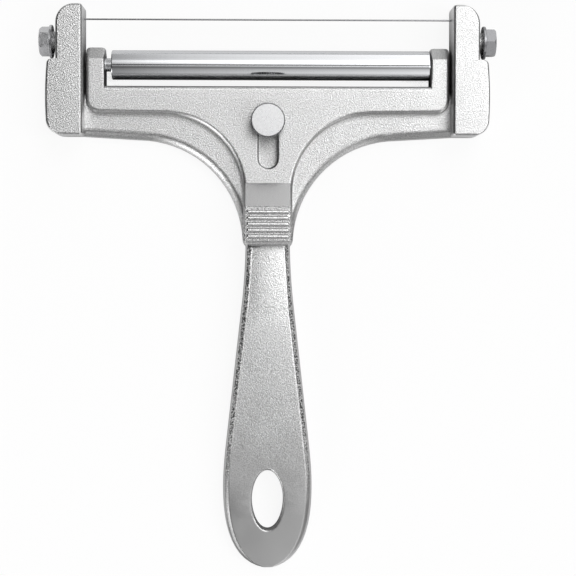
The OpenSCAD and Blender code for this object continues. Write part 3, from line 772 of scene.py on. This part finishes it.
class SLICER_OT_stage(SlicerOperator, bpy.types.Operator):
    """Floor, soft lights and a camera above the slicer"""
    bl_idname = "slicer.stage"
    bl_label = "Studio"

    def execute(self, context):
        scene = context.scene
        scene.view_settings.view_transform = "Standard"
        self.floor(scene)
        self.world(scene)
        for lamp in LAMPS:
            self.lamp(*lamp)
        self.camera(scene)
        return {"FINISHED"}

    def floor(self, scene):
        material, tree = new_material("white_paper_floor")
        # Matt white paper: bright to the eye and in reflections, and grey only where the slicer shades it
        paper = add(tree, "ShaderNodeBsdfDiffuse", {"Color": linear(scene.slicer_studio.floor_colour)})
        # Deep narrow gaps let little light down to the paper, and metal close to the paper shades it
        gaps = add(tree, "ShaderNodeAmbientOcclusion", {"Distance": GAP_DEPTH}, samples=16).outputs["AO"]
        path = add(tree, "ShaderNodeLightPath").outputs
        seen = ranged(tree, gaps, 0.01, 0.05)
        mirrored = ranged(tree, gaps, 0.3, 1.0)
        bright = between(tree, path["Is Camera Ray"], mirrored, seen)
        glow = add(tree, "ShaderNodeEmission", {"Color": linear("#FFFFFF"), "Strength": bright})
        direct = larger(tree, path["Is Camera Ray"], path["Is Glossy Ray"])
        shown = larger(tree, direct, path["Is Transmission Ray"])
        both = add(tree, "ShaderNodeMixShader", {
            0: times(tree, shown, GLOW_SHARE), 1: paper.outputs[0], 2: glow.outputs[0]
        })
        finish_material(tree, both)
        mesh = bpy.data.meshes.new("floor")
        h, z = FLOOR_HALF, -FLOOR_DROP
        mesh.from_pydata([(-h, -h, z), (h, -h, z), (h, h, z), (-h, h, z)], [], [(0, 1, 2, 3)])
        mesh.materials.append(material)
        holder_object("floor", mesh)

    def world(self, scene):
        world = bpy.data.worlds.new("studio_air")
        world.use_nodes = True
        tree = world.node_tree
        tree.nodes.clear()
        # The room is brightest behind the wire and on the right, with a dark slit overhead and dark sides
        aim = split(tree, coordinates(tree, "Generated"))
        along = self.levels(tree, aim["Y"], ROOM_ALONG)
        light = times(tree, along, self.levels(tree, aim["X"], ROOM_ACROSS))
        # Seen past the floor's edge the room is plain white
        seen = add(tree, "ShaderNodeLightPath").outputs["Is Camera Ray"]
        level = between(tree, seen, light, 1.0)
        sky = add(tree, "ShaderNodeBackground", {"Color": linear("#FFFFFF"), "Strength": level})
        add(tree, "ShaderNodeOutputWorld", {0: sky.outputs[0]})
        scene.world = world

    def levels(self, tree, value, table):
        """Levels joined by straight lines, over a direction's part from -1 to 1."""
        curve = add(tree, "ShaderNodeFloatCurve", {"Value": ranged(tree, value, -1.0, 1.0)})
        points = curve.mapping.curves[0].points
        for place, level in table[1:-1]:
            points.new((place + 1) / 2, level / ROOM_TOP)
        points[0].location = (0, table[0][1] / ROOM_TOP)
        points[-1].location = (1, table[-1][1] / ROOM_TOP)
        for point in points:
            point.handle_type = "VECTOR"
        curve.mapping.update()
        return times(tree, curve.outputs[0], ROOM_TOP)

    def lamp(self, name, place, aim, size, power):
        light = bpy.data.lights.new(name, "AREA")
        light.shape = "RECTANGLE"
        light.size, light.size_y = size
        light.energy = power
        lamp = holder_object(name, light)
        lamp.location = place
        lamp.rotation_euler = (Vector(aim) - Vector(place)).to_track_quat("-Z", "Y").to_euler()

    def camera(self, scene):
        studio = scene.slicer_studio
        lens = bpy.data.cameras.new("camera")
        lens.lens = studio.lens
        lens.sensor_width = 36.0
        camera = holder_object("camera", lens)
        camera.location = (CAMERA_PLACE[0], CAMERA_PLACE[1], studio.distance)
        camera.rotation_euler = [math.radians(v) for v in CAMERA_TURN]
        scene.camera = camera


# Light of the room, from the handle's side, -1, to behind the wire, 1
ROOM_ALONG = (
    (-1, 0.4), (-0.9, 0.6), (-0.57, 0.42), (-0.45, 0.25), (-0.36, 0.2), (-0.26, 0.3), (-0.22, 0.5),
    (-0.16, 0.85), (-0.13, 0.95), (-0.11, 0.14), (0.03, 0.14), (0.06, 1.06), (0.2, 1.22), (0.27, 1.62),
    (0.5, 1.75), (0.6, 0.9), (0.85, 0.8), (1, 0.85)
)
# And from the left, -1, to the right, 1
ROOM_ACROSS = (
    (-1, 0.1), (-0.5, 0.05), (-0.25, 0.03), (-0.16, 0.06), (-0.12, 0.2), (-0.09, 0.75), (-0.06, 1.2),
    (0, 1.62), (0.05, 1.85), (0.08, 2.05), (0.12, 2.4), (0.2, 2.85), (0.33, 2.8), (0.45, 1.2), (0.65, 0.5),
    (1, 0.2)
)
# No level may be higher than this
ROOM_TOP = 4.0

# The floor in metres: half its width, its drop below the slicer, and how deep a gap has to be to look dark
FLOOR_HALF = 1.5
FLOOR_DROP = 0.02 * MM
GAP_DEPTH = 8 * MM
# Share of the floor that is plain white to the eye and in reflections, the rest being lit paper
GLOW_SHARE = 0.9

# Soft boxes: name, place, what they point at, width and height, watts
LAMPS = (
    ("right_fill", (0.75, -0.1, 0.75), (0, -0.05, 0), (0.3, 0.5), 2.4),
    ("left_low", (-0.75, -0.9, 0.42), (0, 0, 0), (0.7, 0.7), 8.0),
)

# The camera, over the thumb pad, leans a little towards the handle and the right, in metres and degrees
CAMERA_PLACE = (-0.00214, 0.01278)
CAMERA_TURN = (-1.635, -1.013, 0.1)


class SLICER_PT_panel(bpy.types.Panel):
    """Lists the slicer's pieces and their settings"""
    bl_label = "Slicer"
    bl_space_type = "VIEW_3D"
    bl_region_type = "UI"
    bl_category = "Slicer"

    def draw(self, context):
        for group in (context.scene.slicer_looks, context.scene.slicer_studio):
            for key in group.__annotations__:
                self.layout.prop(group, key)
        for operator in OPERATORS:
            self.layout.operator(operator.bl_idname)


OPERATORS = (
    SLICER_OT_castings, SLICER_OT_roller, SLICER_OT_thumb_screw,
    SLICER_OT_clamps, SLICER_OT_wire, SLICER_OT_stage
)
CLASSES = (SlicerLooks, SlicerStudio) + OPERATORS + (SLICER_PT_panel,)


def register():
    for cls in CLASSES:
        bpy.utils.register_class(cls)
    bpy.types.Scene.slicer_looks = bpy.props.PointerProperty(type=SlicerLooks)
    bpy.types.Scene.slicer_studio = bpy.props.PointerProperty(type=SlicerStudio)


def unregister():
    del bpy.types.Scene.slicer_looks
    del bpy.types.Scene.slicer_studio
    for cls in reversed(CLASSES):
        bpy.utils.unregister_class(cls)


def main():
    register()
    bpy.ops.slicer.castings()
    bpy.ops.slicer.roller()
    bpy.ops.slicer.thumb_screw()
    bpy.ops.slicer.clamps()
    bpy.ops.slicer.wire()
    bpy.ops.slicer.stage()


if __name__ == "__main__":
    main()
